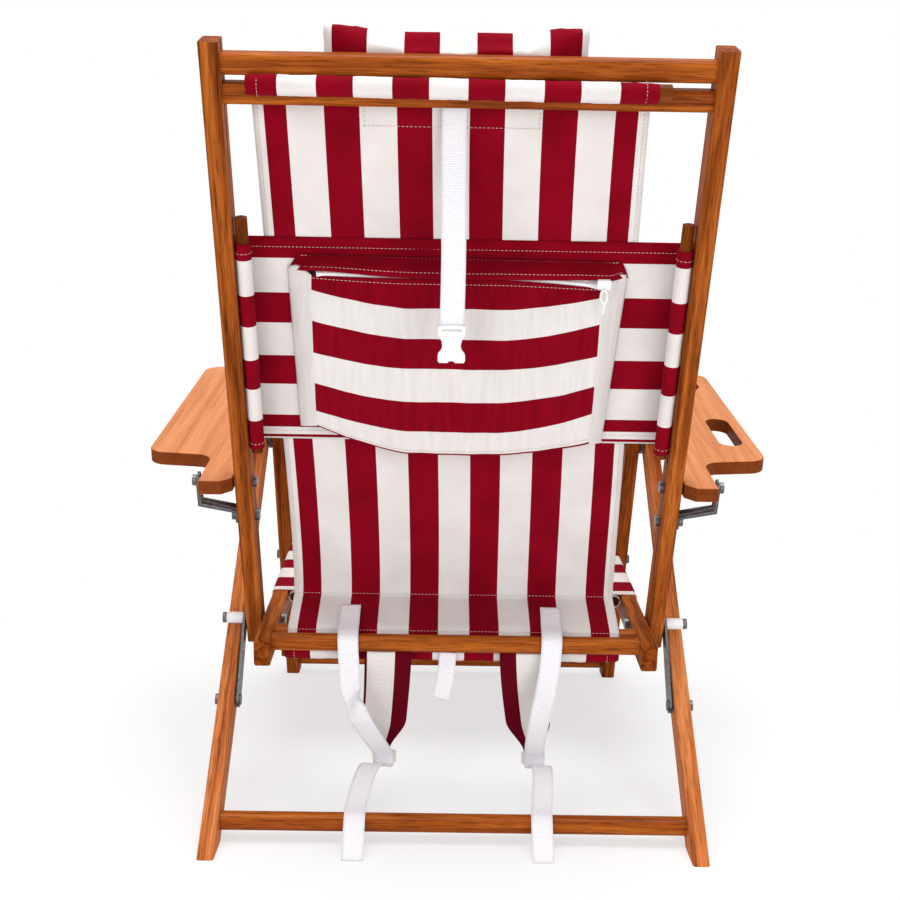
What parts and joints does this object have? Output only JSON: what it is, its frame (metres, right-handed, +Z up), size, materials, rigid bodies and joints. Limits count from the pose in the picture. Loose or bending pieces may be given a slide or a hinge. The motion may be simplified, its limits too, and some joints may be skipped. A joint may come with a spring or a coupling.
{
  "type": "backpack beach chair",
  "caption": "Folding wooden beach chair with canvas sling back, wrapped seat panel, zipped back pouch, head pillow, paddle arms and shoulder straps under the seat.",
  "frame": {"origin": "on the floor, under the middle of the chair's bounding box", "axes": "+X to the sitter's right, which is also right when seen from behind, +Y to the chair's front, +Z up"},
  "size_m": [0.7502, 0.6326, 0.8789],
  "materials": {
    "varnished_hardwood": "varnished reddish brown hardwood",
    "plain_dowel": "plain turned hardwood dowel",
    "zinc_steel": "zinc plated steel",
    "white_nylon": "white moulded nylon",
    "white_webbing": "white woven webbing",
    "striped_canvas": "deep red and white striped canvas"
  },
  "bodies": {
    "front_legs": {"apex_bolts": "zinc_steel", "front_leg_bar": "varnished_hardwood", "front_leg_left": "varnished_hardwood", "front_leg_right": "varnished_hardwood"},
    "arms": {"apex_bracket_left": "zinc_steel", "apex_bracket_right": "zinc_steel", "apex_screws": "zinc_steel", "arm_left": "varnished_hardwood", "arm_right": "varnished_hardwood"},
    "back": {"arm_bolts": "zinc_steel", "arm_brackets": "zinc_steel", "back_post_left": "varnished_hardwood", "back_post_right": "varnished_hardwood", "back_sling": "striped_canvas", "bracket_bolts": "zinc_steel", "closure_buckle": "white_nylon", "closure_strap": "white_webbing", "head_pillow": "striped_canvas", "panel_dowel_left": "plain_dowel", "panel_dowel_right": "plain_dowel", "pouch": "striped_canvas", "pouch_panel": "striped_canvas", "pouch_zip": "white_webbing", "sling_top_dowel": "plain_dowel", "top_bar_lower": "varnished_hardwood", "top_bar_upper": "varnished_hardwood"},
    "seat": {"closure_tail": "white_webbing", "front_pivot_bolts": "zinc_steel", "seat_dowel_left": "plain_dowel", "seat_dowel_right": "plain_dowel", "seat_front_bar": "varnished_hardwood", "seat_panel": "striped_canvas", "seat_pivot_bolts": "zinc_steel", "seat_rail_left": "varnished_hardwood", "seat_rail_right": "varnished_hardwood", "seat_rear_bar": "varnished_hardwood", "seat_second_bar": "varnished_hardwood", "shoulder_strap_left": "striped_canvas", "shoulder_strap_right": "striped_canvas", "sling_foot_dowel": "plain_dowel", "strap_adjuster_left": "white_nylon", "strap_adjuster_right": "white_nylon", "strap_webbing_left": "white_webbing", "strap_webbing_right": "white_webbing"},
    "rear_legs": {"link_bolts": "zinc_steel", "rear_leg_bar": "varnished_hardwood", "rear_leg_left": "varnished_hardwood", "rear_leg_right": "varnished_hardwood"},
    "links": {"link_strap_left": "zinc_steel", "link_strap_right": "zinc_steel", "roller_bolts": "zinc_steel", "roller_left": "white_nylon", "roller_right": "white_nylon"},
    "zip_runner": {"zip_pull": "white_webbing", "zip_slider": "white_nylon"}
  },
  "joints": [
    {"name": "back_fold", "type": "hinge", "parent": "seat", "child": "back", "pos_m": [0, -0.07216, 0.208], "axis": [-1, 0, 0], "range_deg": [0, 94], "deforming": ["back_sling"]},
    {"name": "arm_swing", "type": "hinge", "parent": "back", "child": "arms", "pos_m": [0, -0.13793, 0.39476], "axis": [-1, 0, 0], "range_deg": [-94, 0]},
    {"name": "front_leg_fold", "type": "hinge", "parent": "seat", "child": "front_legs", "pos_m": [0, 0.22484, 0.208], "axis": [-1, 0, 0], "range_deg": [0, 94]},
    {"name": "rear_leg_swing", "type": "hinge", "parent": "front_legs", "child": "rear_legs", "pos_m": [0, 0.15907, 0.39476], "axis": [-1, 0, 0], "range_deg": [-60.57, 0], "deforming": ["strap_webbing_left", "strap_webbing_right", "shoulder_strap_left", "shoulder_strap_right", "closure_tail"]},
    {"name": "link_swing", "type": "hinge", "parent": "rear_legs", "child": "links", "pos_m": [0, -0.12731, 0.12373], "axis": [-1, 0, 0], "range_deg": [-147.88, 0]},
    {"name": "zip_slide", "type": "slide", "parent": "back", "child": "zip_runner", "axis": [-1, 0, 0], "range_m": [0, 0.29]}
  ],
  "couplings": [
    {"joint": "arm_swing", "follows": "back_fold", "ratio": -1},
    {"joint": "front_leg_fold", "follows": "back_fold", "ratio": 1},
    {"joint": "rear_leg_swing", "follows": "back_fold", "ratio": -0.64383},
    {"joint": "link_swing", "follows": "back_fold", "ratio": -1.5727}
  ]
}
